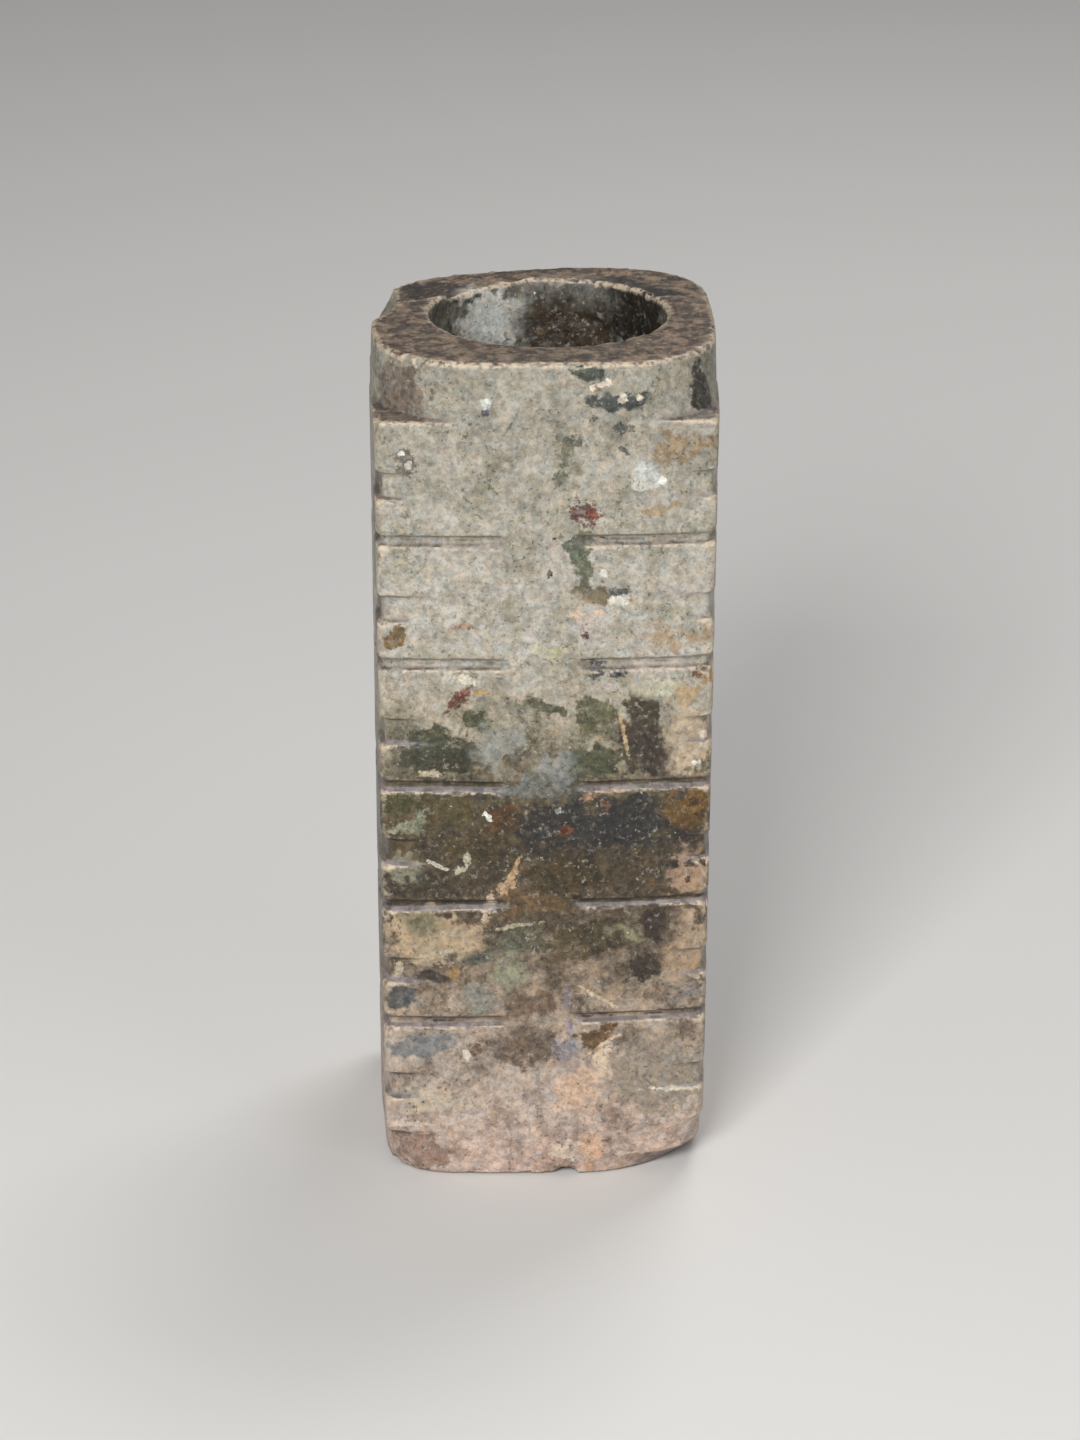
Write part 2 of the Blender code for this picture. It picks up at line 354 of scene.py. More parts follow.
proud = measure_proud(stone)
attribute = stone.data.attributes.new("proud_mm", "FLOAT", "POINT")
attribute.data.foreach_set("value", (proud / MM).astype(np.float32))
stone.vertex_groups.clear()
outer = from_bore_axis(points_of(stone)) > bore_reach
front = (points_of(stone, "normal")[:, 1] < facing_front) & outer
weight_points(stone, "may_thin", np.where(front, 0.0, 1.0))
triangles = sum(len(face.vertices) - 2 for face in stone.data.polygons)
thin = {"ratio": triangle_limit / triangles, "vertex_group": "may_thin"}
apply_new(stone, "thinned", "DECIMATE", **thin)
apply_new(stone, "all_triangles", "TRIANGULATE")
stone.vertex_groups.clear()
select_only(stone)
bpy.ops.object.shade_smooth()
kept = np.zeros(len(stone.data.vertices), np.float32)
stone.data.attributes["proud_mm"].data.foreach_get("value", kept)
print("worn stone:", len(stone.data.polygons), "triangles, front points:", int(front.sum()))
print("proud from", round(float(kept.min()), 2), "to", round(float(kept.max()), 2), "mm")

# %% [markdown]
# Buried nephrite is a patchwork of stains, veins and grains. Noise alone gives stone, but not
# this stone, so the features that show best are marks with names. A mark's size is in real
# millimetres, half its length and half its height, and its tilt is in degrees.

# %% Note a mark
nearly_level = 0.7
marks = {"area": [], "spot": [], "glint": []}


def facing_frame(normal, tilt):
    """Axes that lie across, into and up a surface, turned by a tilt."""
    upward = Vector((0, 1, 0)) if abs(normal.z) > nearly_level else Vector((0, 0, 1))
    across = upward.cross(normal).normalized()
    up = normal.cross(across)
    axes = Matrix((across, -normal, up)).transposed()
    return Matrix.Rotation(math.radians(tilt), 3, normal) @ axes


def mark(kind, name, code, pixel, size, tilt=0, shown=0.85):
    """Note one mark: what it is, its colour, and where and how large it is."""
    place, normal = on_stone(pixel)
    note = {"name": name, "colour": np.array(srgb(code)), "size": size, "shown": shown}
    note["place"] = np.array(place) / MM
    note["axes"] = np.array(facing_frame(normal, tilt))
    marks[kind].append(note)


def count_marks():
    """Print how many marks of each kind are noted so far."""
    print("marks so far:", {kind: len(group) for kind, group in marks.items()})


count_marks()

# %% [markdown]
# There are three kinds of mark. Areas are wide stains, which cover each other in the order
# given. Spots are small dark or coloured grains, and glints are small pale ones that lie over
# the spots. First come the rim and the bore, with the brown broken layer at the back left.

# %% Marks on the rim and in the bore
mark("area", "broken layer", "#4f4038", pixel=(431, 290), size=(7.5, 6.5), shown=0.95)
mark("area", "bluish white bore wall", "#c6c7c4", pixel=(489, 320), size=(8, 7))
mark("area", "grey bore wall", "#77756f", pixel=(579, 295), size=(10, 3.6))
mark("area", "brown bore wall", "#4e4031", pixel=(567, 328), size=(11, 6), shown=0.95)
mark("area", "dark right bore wall", "#342f2a", pixel=(639, 313), size=(10, 9), shown=0.95)
mark("spot", "ochre spot in the bore", "#8d7350", pixel=(541, 331), size=(1.2, 1.1))
mark("glint", "white drip in the bore", "#dcdcd8", pixel=(534, 297), size=(0.6, 1.2))
mark("glint", "white lip of the bore", "#d8d5d0", pixel=(483, 288), size=(1.3, 0.7))
count_marks()

# %% [markdown]
# The upper collar is pale green grey in the middle, brown at its left end and nearly black
# at its right end, with a slate cloud and a string of pink and cream grains like seeds. Both
# ends are also darkened as painted shade, where the collar's corners turn from the light. A
# thin brown skin runs down the left edge of the upper tiers below it, partly painted shade
# on the corner that turns from the light.

# %% Marks on the upper collar and the left edge
# Painted shade: the collar's ends and the left edge strip are darkened partly as shade where the
# corners turn from the light, over real brown stone.
mark("area", "brown end of the collar with painted shade", "#83776b", pixel=(395, 388), size=(8, 6.5), shown=0.8)
mark("area", "dark end of the collar with painted shade", "#57524b", pixel=(702, 391), size=(3.8, 5.4))
mark("area", "slate cloud", "#4e5452", pixel=(618, 404), size=(6.6, 2.6))
mark("area", "green shadow under the rim", "#4b5548", pixel=(587, 374), size=(3.8, 1.5))
mark("area", "brown left edge with painted shade", "#6e6053", pixel=(374, 545), size=(3.4, 28), shown=0.75)
mark("spot", "blue grain", "#3f4a66", pixel=(485, 413), size=(0.8, 0.75))
mark("spot", "long scratch", "#6d6c62", pixel=(510, 426), size=(4.0, 0.3), tilt=58)
mark("glint", "white over the blue grain", "#c3c7c2", pixel=(486, 404), size=(1.0, 1.2))
mark("glint", "pink bead, left", "#d9c3ae", pixel=(592, 388), size=(0.65, 0.65))
mark("glint", "pink bead, middle", "#dcc9b7", pixel=(600, 385), size=(0.7, 0.7))
mark("glint", "pink bead, right", "#dcc9b7", pixel=(608, 383), size=(0.75, 1.0))
mark("glint", "cream bead, left", "#cfc6b6", pixel=(623, 399), size=(0.9, 1.0))
mark("glint", "cream bead, right", "#cfc6b6", pixel=(640, 397), size=(0.75, 0.7))
count_marks()

# %% [markdown]
# The first tier is pale, with a green vein that drops down its middle, a rust red inclusion,
# a bluish white growth to the right, and two small rings on the left, which may be all that
# is left of a drilled eye.

# %% Marks on the first tier
mark("area", "wide green vein", "#86826f", pixel=(564, 460), size=(3, 8), shown=0.6)
mark("area", "tan patch", "#937f63", pixel=(680, 447), size=(8.5, 4), shown=0.6)
mark("area", "bluish white growth", "#bcbebb", pixel=(648, 476), size=(5, 2.6), tilt=-25, shown=0.7)
mark("area", "tan streak", "#a08c6e", pixel=(660, 509), size=(6.2, 1.0), tilt=8, shown=0.7)
mark("spot", "green vein, top", "#5c5f4e", pixel=(571, 442), size=(2.2, 1.2))
mark("spot", "green vein, middle", "#696d59", pixel=(566, 457), size=(0.9, 2.2))
mark("spot", "green vein, foot", "#696d59", pixel=(559, 479), size=(1.1, 1.8), tilt=-20)
mark("spot", "upper ring", "#6b665d", pixel=(403, 454), size=(1.5, 1.5))
mark("spot", "lower ring", "#6b665d", pixel=(407, 467), size=(1.7, 2.0))
mark("spot", "slate patch", "#4d524e", pixel=(622, 428), size=(2.0, 1.0))
mark("spot", "blue grey streak", "#53575a", pixel=(625, 451), size=(1.8, 0.4), tilt=-38)
mark("spot", "rust red inclusion", "#6e2f1c", pixel=(585, 513), size=(3.3, 2.2), tilt=-12)
mark("glint", "light in the upper ring", "#d5d2c6", pixel=(401, 453), size=(0.6, 0.7))
mark("glint", "light in the lower ring", "#bdb9ad", pixel=(408, 466), size=(0.75, 0.9))
mark("glint", "white grain in the growth", "#e4e4df", pixel=(663, 479), size=(1.0, 0.9))
mark("glint", "orange side of the rust", "#9c4a26", pixel=(594, 514), size=(0.9, 1.4), tilt=15)
count_marks()

# %% [markdown]
# The second tier carries the pale stone on, and the green vein fades through it to a brown
# smear. Black specks sit beside the vein, a small rust spot lies below it, and a yellow
# brown stain marks the lower left corner.

# %% Marks on the second tier
mark("area", "green vein runs on", "#6f7460", pixel=(580, 559), size=(2.4, 6), tilt=8)
mark("area", "brown smear", "#7a705b", pixel=(590, 594), size=(4, 2.2))
mark("area", "pink round the rust spot", "#c3ac9c", pixel=(586, 618), size=(3.8, 3.4), shown=0.5)
mark("area", "yellow brown stain", "#866d48", pixel=(394, 635), size=(2.5, 2.7), shown=0.95)
mark("area", "tan lower right", "#a08d75", pixel=(679, 635), size=(8.5, 4), shown=0.6)
mark("area", "yellow green stain", "#a3a588", pixel=(543, 651), size=(3.2, 1.0), shown=0.8)
mark("spot", "green vein at the ledge", "#656b58", pixel=(578, 548), size=(1.9, 2.8))
mark("spot", "black speck, left", "#1e1c19", pixel=(554, 539), size=(0.5, 0.35), tilt=20)
mark("spot", "black speck, right", "#1e1c19", pixel=(602, 537), size=(0.6, 0.3))
mark("spot", "tall black speck", "#26241f", pixel=(550, 573), size=(0.5, 1.2))
mark("spot", "slate blue grain", "#4c5459", pixel=(618, 593), size=(2.1, 1.1), tilt=-6)
mark("spot", "pink stain", "#a9836c", pixel=(461, 627), size=(2.2, 0.7))
mark("spot", "small rust spot", "#5a2f20", pixel=(585, 636), size=(0.7, 0.7))
mark("glint", "white under the slate grain", "#d6d0c6", pixel=(620, 601), size=(2.0, 1.0))
mark("glint", "white grain by the vein", "#d8d4cc", pixel=(604, 575), size=(1.0, 0.8))
count_marks()

# %% [markdown]
# The third tier is where pale turns to dark. A rust red streak with an orange tail lies on
# the left, a grey blue cloud sinks through the middle, and dark olive brown spreads to the
# right, up against a patch of pinkish white flecks.

# %% Marks on the third tier
mark("area", "dark olive, left", "#54553f", pixel=(438, 755), size=(9.8, 5.4))
mark("area", "darkest olive, left", "#423c2a", pixel=(460, 762), size=(4.4, 3.4), shown=0.75)
mark("area", "olive under the streak", "#5c6045", pixel=(476, 721), size=(3.4, 3.4), shown=0.75)
mark("area", "grey blue cloud", "#908f88", pixel=(498, 748), size=(5.4, 5.4))
mark("area", "foot of the cloud", "#878884", pixel=(558, 768), size=(5, 3.6))
mark("area", "olive island", "#66644c", pixel=(546, 707), size=(4.4, 1.7), tilt=-22, shown=0.8)
mark("area", "olive, right of the middle", "#6c6a4e", pixel=(596, 714), size=(5, 4.2), shown=0.75)
mark("area", "olive foot", "#5b5e42", pixel=(598, 762), size=(5.6, 3.8))
mark("area", "dark brown, top", "#594e3b", pixel=(643, 716), size=(4, 5.4), shown=0.9)
mark("area", "dark brown, foot", "#4c3f33", pixel=(650, 753), size=(6, 5), shown=0.9)
mark("area", "green cream wedge", "#b4b09c", pixel=(661, 688), size=(5.4, 2.6), tilt=-5)
mark("area", "tan diagonal", "#a68c66", pixel=(690, 692), size=(5.6, 1.3), tilt=38)
mark("area", "pinkish flecked patch", "#ab9b86", pixel=(689, 736), size=(4.8, 7.8))
mark("spot", "dark slate, left", "#3f4448", pixel=(596, 669), size=(1.5, 1.4))
mark("spot", "dark slate, right", "#3e4a52", pixel=(618, 673), size=(1.5, 1.1))
mark("spot", "rust red streak", "#7a3118", pixel=(458, 700), size=(3.5, 1.2), tilt=46)
mark("spot", "amber grain", "#7c5a2e", pixel=(701, 673), size=(2.2, 1.4), tilt=25)
mark("glint", "orange tail of the streak", "#b0843f", pixel=(480, 693), size=(1.6, 0.5), tilt=8)
mark("glint", "cream over the streak", "#cfc9b8", pixel=(465, 680), size=(2.3, 1.0), tilt=-20)
mark("glint", "upright pale vein", "#b09a76", pixel=(624, 735), size=(0.45, 5.4), tilt=12)
mark("glint", "white fleck, upper", "#d6c8b8", pixel=(704, 735), size=(1.0, 1.2))
mark("glint", "white fleck, lower", "#e2dcd0", pixel=(697, 763), size=(0.8, 0.8))
mark("glint", "cream fleck at the ledge", "#b9aa90", pixel=(430, 774), size=(2.4, 0.8))
count_marks()

# %% [markdown]
# The fourth tier is the darkest. Olive and rust brown on the left hold a pale green shard
# and white curls like bits of shell. Charcoal grey covers the right, with an orange brown
# spot, and amber and pink spotted stone fill the two right corners.

# %% Marks on the fourth tier
mark("area", "olive, left corner", "#57532f", pixel=(402, 805), size=(4.6, 3.2), shown=0.9)
mark("area", "rusty olive", "#655936", pixel=(452, 808), size=(6, 4))
mark("area", "amber brown", "#6b4a28", pixel=(503, 821), size=(3.8, 3.6))
mark("area", "olive middle", "#584a2a", pixel=(474, 848), size=(8, 3))
mark("area", "pale green, low left", "#8a8672", pixel=(402, 870), size=(4, 2.8), shown=0.75)
mark("area", "dark olive, low left", "#47412f", pixel=(434, 883), size=(5, 2), shown=0.75)
mark("area", "cloud enters the groove", "#757771", pixel=(539, 788), size=(9, 2.8))
mark("area", "charcoal, left", "#383532", pixel=(560, 827), size=(9, 5.6), shown=0.95)
mark("area", "charcoal, right", "#3c3a38", pixel=(630, 822), size=(9, 6.4), shown=0.95)
mark("area", "amber corner", "#7a5c2c", pixel=(689, 810), size=(4.8, 4.6), shown=0.95)
mark("area", "dark brown under the amber", "#4b3d36", pixel=(688, 840), size=(4, 2.2))
mark("area", "olive foot of the charcoal", "#524327", pixel=(567, 873), size=(10, 5), shown=0.9)
mark("area", "speckled brown", "#5c4d38", pixel=(638, 874), size=(5.8, 4.4))
mark("area", "pink spotted corner", "#9f8671", pixel=(686, 871), size=(5, 4.6), shown=0.95)
mark("spot", "orange brown spot", "#7c4420", pixel=(564, 831), size=(1.8, 1.3))
mark("spot", "pink brown chip", "#8a6350", pixel=(606, 807), size=(1.2, 1.5))
mark("spot", "amber hole, upper", "#3a2412", pixel=(695, 802), size=(1.3, 0.9))
mark("spot", "amber hole, lower", "#3a2412", pixel=(703, 814), size=(1.3, 0.8))
mark("spot", "pink corner's hole, left", "#3a2519", pixel=(674, 864), size=(0.9, 0.8))
mark("spot", "pink corner's hole, top", "#3a2519", pixel=(692, 864), size=(1.6, 0.9))
mark("spot", "pink corner's hole, foot", "#3a2519", pixel=(687, 880), size=(0.9, 0.7))
mark("glint", "pale green shard", "#8e927c", pixel=(407, 827), size=(4.2, 1.3), tilt=17)
mark("glint", "broad end of the shard", "#7f8870", pixel=(419, 823), size=(1.0, 2.8), tilt=-8)
mark("glint", "white chip", "#e6e2da", pixel=(488, 817), size=(1.4, 0.6), tilt=-48)
mark("glint", "long white curl", "#cfcabd", pixel=(439, 867), size=(2.8, 0.45), tilt=-22)
mark("glint", "hooked curl, upright", "#b9b59f", pixel=(468, 860), size=(0.7, 1.8))
mark("glint", "hooked curl, foot", "#b9b59f", pixel=(462, 870), size=(1.4, 0.6), tilt=30)
mark("glint", "pink strip", "#a8846c", pixel=(590, 797), size=(2.0, 0.8), tilt=18)
mark("glint", "thin end of the pink strip", "#a68a74", pixel=(612, 791), size=(3.2, 0.6), tilt=8)
mark("glint", "white dots on the charcoal", "#a3a6a4", pixel=(558, 811), size=(0.7, 0.6))
mark("glint", "pale vein, upper", "#b3946f", pixel=(516, 865), size=(2.4, 0.5), tilt=58)
mark("glint", "pale vein, lower", "#b89a7a", pixel=(507, 883), size=(3.0, 1.4), tilt=58)
count_marks()

# %% [markdown]
# On the fifth tier pink tan stone comes in from both edges. A dark oval with a pale arc over
# it lies low on the left, grey green fills the middle, and a dark brown cloud hangs on the
# right, over a light vein.

# %% Marks on the fifth tier
mark("area", "pink tan, left", "#a6937a", pixel=(437, 939), size=(11, 6), shown=0.9)
mark("area", "olive in the pink tan", "#7d7558", pixel=(423, 923), size=(4.4, 2.0), shown=0.75)
mark("area", "golden brown", "#7b6242", pixel=(533, 904), size=(9, 3))
mark("area", "grey green middle", "#6a6854", pixel=(516, 939), size=(6, 3.4))
mark("area", "dark grey green", "#5c5f54", pixel=(482, 957), size=(2.6, 2.2))
mark("area", "greenish white", "#8b8c78", pixel=(510, 971), size=(5, 4.4), shown=0.6)
mark("area", "dark oval", "#574b42", pixel=(427, 975), size=(5, 2.0), shown=0.95)
mark("area", "blue grey, low left", "#676868", pixel=(402, 998), size=(3, 3.2), shown=0.8)
mark("area", "grey cream", "#8c8980", pixel=(481, 999), size=(4.6, 3.4), shown=0.7)
mark("area", "olive brown, middle", "#6c5e42", pixel=(565, 942), size=(5, 4.6), shown=0.75)
mark("area", "dark olive, right", "#55492f", pixel=(603, 935), size=(6, 4.4))
mark("area", "light olive", "#8d8a6c", pixel=(623, 933), size=(3, 1.6), tilt=-20)
mark("area", "dark brown cloud", "#43352b", pixel=(659, 923), size=(5, 4.2), shown=0.95)
mark("area", "lower lobe of the cloud", "#44372e", pixel=(646, 968), size=(4.8, 3.4), tilt=45)
mark("area", "pink tan, right", "#a18c76", pixel=(688, 946), size=(4.6, 7.6), shown=0.9)
mark("area", "violet grey corner", "#8a827c", pixel=(688, 995), size=(4, 2.2), shown=0.75)
mark("area", "violet brown foot", "#857060", pixel=(534, 1004), size=(5.4, 3.2))
mark("spot", "orange grain by the oval", "#a5804c", pixel=(454, 974), size=(1.0, 1.4))
mark("spot", "violet streak", "#8a8088", pixel=(567, 999), size=(0.8, 2.4))
mark("glint", "pale vein in the groove", "#cbb9a6", pixel=(491, 906), size=(2.6, 0.8), tilt=43)
mark("glint", "pale line", "#a8a28c", pixel=(518, 926), size=(5.4, 0.5), tilt=7)
mark("glint", "arc over the oval", "#b7ab96", pixel=(427, 958), size=(4.4, 0.8), tilt=16)
mark("glint", "arc left of the oval", "#bcb09a", pixel=(398, 970), size=(0.8, 2.4), tilt=-12)
mark("glint", "light vein", "#c2ae93", pixel=(598, 997), size=(5.2, 0.4), tilt=-33)
count_marks()

# %% [markdown]
# The sixth tier and the foot are grainy and pinkish. Blue grey lies on the upper left, brown
# with a violet patch in the middle turns to salmon below, and a plain grey panel fills the
# right, up to one straight upright border.

# %% Marks on the sixth tier and the foot
mark("area", "blue grey, upper left", "#828283", pixel=(424, 1046), size=(10, 3), tilt=10)
mark("area", "cream streaks", "#b2a594", pixel=(437, 1103), size=(10, 2.6), shown=0.7)
mark("area", "brown, middle", "#7f6d5d", pixel=(537, 1048), size=(7, 5))
mark("area", "brown wedge", "#745636", pixel=(598, 1035), size=(6, 2.4), tilt=24, shown=0.95)
mark("area", "salmon", "#bfa592", pixel=(584, 1090), size=(6, 6.4))
mark("area", "grey panel", "#968a7d", pixel=(661, 1075), size=(10.6, 10), shown=0.9)
mark("area", "cream at the border", "#c9b6a2", pixel=(604, 1058), size=(1.8, 4))
mark("area", "brown pink foot", "#9c8377", pixel=(423, 1152), size=(8, 4))
mark("area", "salmon foot", "#bd9d88", pixel=(595, 1149), size=(3, 4), shown=0.75)
mark("area", "cream foot", "#cdbcae", pixel=(565, 1146), size=(3.6, 2.4), shown=0.7)
mark("spot", "orange brown grain", "#7a5c44", pixel=(474, 1050), size=(1.4, 1.5))
mark("spot", "violet patch", "#8e8c98", pixel=(565, 1050), size=(2.8, 2.2))
mark("spot", "violet column", "#878292", pixel=(569, 1027), size=(0.8, 2.4))
mark("glint", "white by the brown grain", "#ccc8c0", pixel=(466, 1055), size=(0.7, 1.7), tilt=15)
mark("glint", "white streak", "#cfc5bb", pixel=(410, 1124), size=(4.8, 0.6), tilt=3)
mark("glint", "white line", "#cfc7b9", pixel=(673, 1088), size=(6, 0.45))
mark("glint", "light line under the wedge", "#c4b09a", pixel=(604, 1044), size=(5, 0.35), tilt=34)
mark("glint", "white chip at the notch", "#ded2c8", pixel=(571, 1159), size=(0.9, 0.8))
count_marks()

# %% [markdown]
# The marks are worked out for every point of the mesh and stored on it. Areas are mixed one
# over the other at places bent by noise, and they fade out over a wide border. Of the spots
# only the nearest one counts at each point, with how far the point lies outside it, so that
# the material can cut it out with an edge sharper than the mesh.

# %% Store the areas on the mesh
spare_depth = 1.0
deepest_mark = 7.0
bend_size = 6.0
bend_amount = 2.2
bend_starts = (3.0, 17.0, 41.0)
tear_size = 2.2
tear_amount = 0.40
tear_start = 71.0
least_cover = 0.001
fully_shown = 0.50
faded_out = 1.50
layer_fall = 0.8
layer_step = 2.0
points_mm = points_of(stone).astype(float) / MM


def wander(size, octaves, start):
    """Signed noise at every point, with blotches of a size in millimetres."""
    offset = Vector((start, start, start))
    places = [Vector(point) / size + offset for point in points_mm]
    looks = (layer_fall, layer_step, octaves)
    return np.array([point_noise.fractal(place, *looks) for place in places])


def from_middle(note, places):
    """How far each place lies from a mark's middle, in its own half lengths."""
    across, up = note["size"]
    depth = min(max(across, up) + spare_depth, deepest_mark)
    local = (places - note["place"]) @ note["axes"]
    return np.linalg.norm(local / (across, depth, up), axis=1)


def fade(values, full, none):
    """Fall smoothly from 1 to 0 as values pass from one number to another."""
    share = np.clip((values - none) / (full - none), 0.0, 1.0)
    return share * share * (3 - 2 * share)


def store(name, kind, values):
    """Keep one number or colour for each point of the stone."""
    layer = stone.data.attributes.new(name, kind, "POINT")
    field = "value" if kind == "FLOAT" else "color"
    layer.data.foreach_set(field, np.ascontiguousarray(values, np.float32).ravel())


bend = np.stack([wander(bend_size, 5, start) for start in bend_starts], axis=1)
bent_points = points_mm + bend_amount * bend
tear = wander(tear_size, 4, tear_start)
area_colour = np.zeros((len(points_mm), 4))
for note in marks["area"]:
    distance = from_middle(note, bent_points) + tear_amount * tear
    shown = (note["shown"] * fade(distance, fully_shown, faded_out))[:, None]
    area_colour = area_colour * (1 - shown) + note["colour"] * shown
area_colour[:, :3] /= np.maximum(area_colour[:, 3:], least_cover)
store("area_colour", "FLOAT_COLOR", area_colour)
print("points under an area:", int((area_colour[:, 3] > 0.5).sum()))

# %% Store the nearest spot and glint
small_bend_size = 1.6
small_bend_share = 0.7
far_away = 100.0
small_starts = (5.0, 23.0, 47.0)
small_bend = np.stack([wander(small_bend_size, 3, start) for start in small_starts], axis=1)


def store_nearest(kind):
    """Keep the nearest mark's colour, and how far outside it each point lies."""
    nearest = np.full(len(points_mm), far_away)
    outside_it = np.full(len(points_mm), far_away)
    colours = np.zeros((len(points_mm), 4))
    for note in marks[kind]:
        thin_side = min(note["size"])
        moved_points = points_mm + small_bend_share * thin_side * small_bend
        distance = from_middle(note, moved_points) - 1
        nearer = distance * thin_side < nearest
        nearest[nearer] = (distance * thin_side)[nearer]
        outside_it[nearer] = distance[nearer]
        colours[nearer] = note["colour"]
    store(kind + "_colour", "FLOAT_COLOR", colours)
    store(kind + "_outside", "FLOAT", outside_it)
    print("points in a", kind + ":", int((outside_it < 0).sum()))


store_nearest("spot")
store_nearest("glint")

# %% [markdown]
# One small function adds each node, with its settings and what it is fed. Everything below
# is measured in millimetres of stone, so a noise of size 3 has blotches about 3 mm wide.

# %% The stone's material, and the function that adds a node
SMOOTH = {"interpolation_type": "SMOOTHSTEP"}
COLOURS = {"data_type": "RGBA"}

nephrite = bpy.data.materials.new("weathered_nephrite")
nephrite.use_nodes = True
tree = nephrite.node_tree
shader = tree.nodes["Principled BSDF"]


def add(kind, feeds, output=0, **settings):
    """Add one node with its settings, feed its inputs, and hand back one of its outputs."""
    node = tree.nodes.new("ShaderNode" + kind)
    for name, value in settings.items():
        setattr(node, name, value)
    by_place = feeds if isinstance(feeds, dict) else dict(enumerate(feeds))
    for place, value in by_place.items():
        if isinstance(value, bpy.types.NodeSocket):
            tree.links.new(value, node.inputs[place])
        else:
            node.inputs[place].default_value = value
    return node.outputs[output]


on_piece = add("TexCoord", [], "Object")
millimetres = add("VectorMath", {0: on_piece, 3: 1 / MM}, operation="SCALE")
print("material:", nephrite.name)

# %% [markdown]
# Stone grows in curls and clouds, so its patterns are read at places shifted by noise. A
# wide shift bends the borders of patches, and a fine one frays them.

# %% Shifted places
def shift(size, amount, detail):
    """Places shifted by noise of a size, by up to about an amount, in millimetres."""
    feeds = {"Vector": millimetres, "Scale": 1 / size, "Detail": detail, "Roughness": 0.65}
    stray = add("TexNoise", feeds, "Color")
    signed = add("VectorMath", [stray, (0.5, 0.5, 0.5)], operation="SUBTRACT")
    moved = add("VectorMath", {0: signed, 3: 2 * amount}, operation="SCALE")
    return add("VectorMath", [millimetres, moved], operation="ADD")


frayed = shift(size=5.0, amount=3.0, detail=6.0)
nibbled = shift(size=1.0, amount=0.6, detail=3.0)
height_mm = add("SeparateXYZ", [shift(size=16.0, amount=5.0, detail=3.0)], 2)
height_share = add("Math", [height_mm, total_height / MM], operation="DIVIDE")
print("nodes so far:", len(tree.nodes))

# %% [markdown]
# Every pattern in the stone is a noise. Each has a size in millimetres, a number of ever
# finer layers, how rough those are, and the places that it is read at. One loop makes them
# all, so that their numbers stand side by side and are easy to compare.

# %% The patterns in the stone
pattern_looks = {
    "clouds": (9.0, 8.0, 0.74, nibbled),
    "skin": (3.6, 8.0, 0.70, frayed),
    "bore": (4.0, 7.0, 0.70, millimetres),
    "broken borders": (2.6, 8.0, 0.72, nibbled),
    "eaten edges": (0.7, 4.0, 0.65, millimetres),
    "see through": (1.1, 3.0, 0.60, nibbled),
    "tint": (2.6, 6.0, 0.65, frayed),
    "mottle": (1.5, 7.0, 0.72, nibbled),
    "blotches": (5.0, 6.0, 0.64, frayed),
    "specks": (0.85, 2.0, 0.50, nibbled),
    "speck areas": (9.0, 3.0, 0.60, millimetres),
    "flecks": (1.1, 5.0, 0.70, nibbled),
    "fleck areas": (6.0, 4.0, 0.60, frayed),
    "curls": (2.2, 4.0, 0.60, nibbled),
    "cracks": (3.8, 4.0, 0.60, frayed),
    "stray": (1.4, 4.0, 0.60, millimetres),
    "rubbing": (1.2, 5.0, 0.70, millimetres),
    "bumps": (0.6, 5.0, 0.65, nibbled),
}
pattern = {}
for name, (size, layers, rough, places) in pattern_looks.items():
    feeds = {"Vector": places, "Scale": 1 / size, "Detail": layers, "Roughness": rough}
    pattern[name] = add("TexNoise", feeds)
print("patterns:", len(pattern))

# %% [markdown]
# The block changes from cream and grey green above to olive brown in the middle, and to a
# pinkish grey at the foot. Two ramps by height hold the lighter and the darker stone, and
# clouds of noise mix them. This ground shows on every side of the block.

# %% The ground colours
light_stone = ((0.00, "#c6b0a5"), (0.12, "#b8a89c"), (0.24, "#9f8e7d"), (0.36, "#6d5b44"),
               (0.47, "#6c5e42"), (0.56, "#a09684"), (0.66, "#b0aba4"), (0.97, "#9c978c"))
dark_stone = ((0.00, "#95796f"), (0.12, "#8a7c72"), (0.24, "#6a5a48"), (0.36, "#453b2c"),
              (0.47, "#443d2e"), (0.56, "#6c6651"), (0.66, "#95907f"), (0.97, "#858274"))

ramps = []
for stops in (light_stone, dark_stone):
    ramp = add("ValToRGB", [height_share])
    stop_list = ramp.node.color_ramp.elements
    while len(stop_list) < len(stops):
        stop_list.new(1.0)
    for stop, (share, code) in zip(stop_list, stops):
        stop.position = share
        stop.color = srgb(code)
    ramps.append(ramp)

clouds = add("MapRange", [pattern["clouds"], 0.40, 0.66], **SMOOTH)
colour = add("Mix", {0: clouds, 6: ramps[0], 7: ramps[1]}, 2, **COLOURS)
print("ground colours:", len(light_stone) + len(dark_stone))

# %% [markdown]
# The rim carries a smooth brown grey skin, where earth lay on the stone. The bore is
# darker, with brown and bluish white growths. Which way the surface faces, and how far it
# lies from the bore's axis, tell the material where these skins belong.

# %% The skins of the rim and the bore
faces_up = add("SeparateXYZ", [add("NewGeometry", [], "Normal")], 2)
skin_tone = add("MapRange", [pattern["skin"], 0.42, 0.58], **SMOOTH)
rim_skin = add("Mix", {0: skin_tone, 6: srgb("#9a846f"), 7: srgb("#655548")}, 2, **COLOURS)
on_rim = add("MapRange", [faces_up, 0.55, 0.90], **SMOOTH)
colour = add("Mix", {0: on_rim, 6: colour, 7: rim_skin}, 2, **COLOURS)

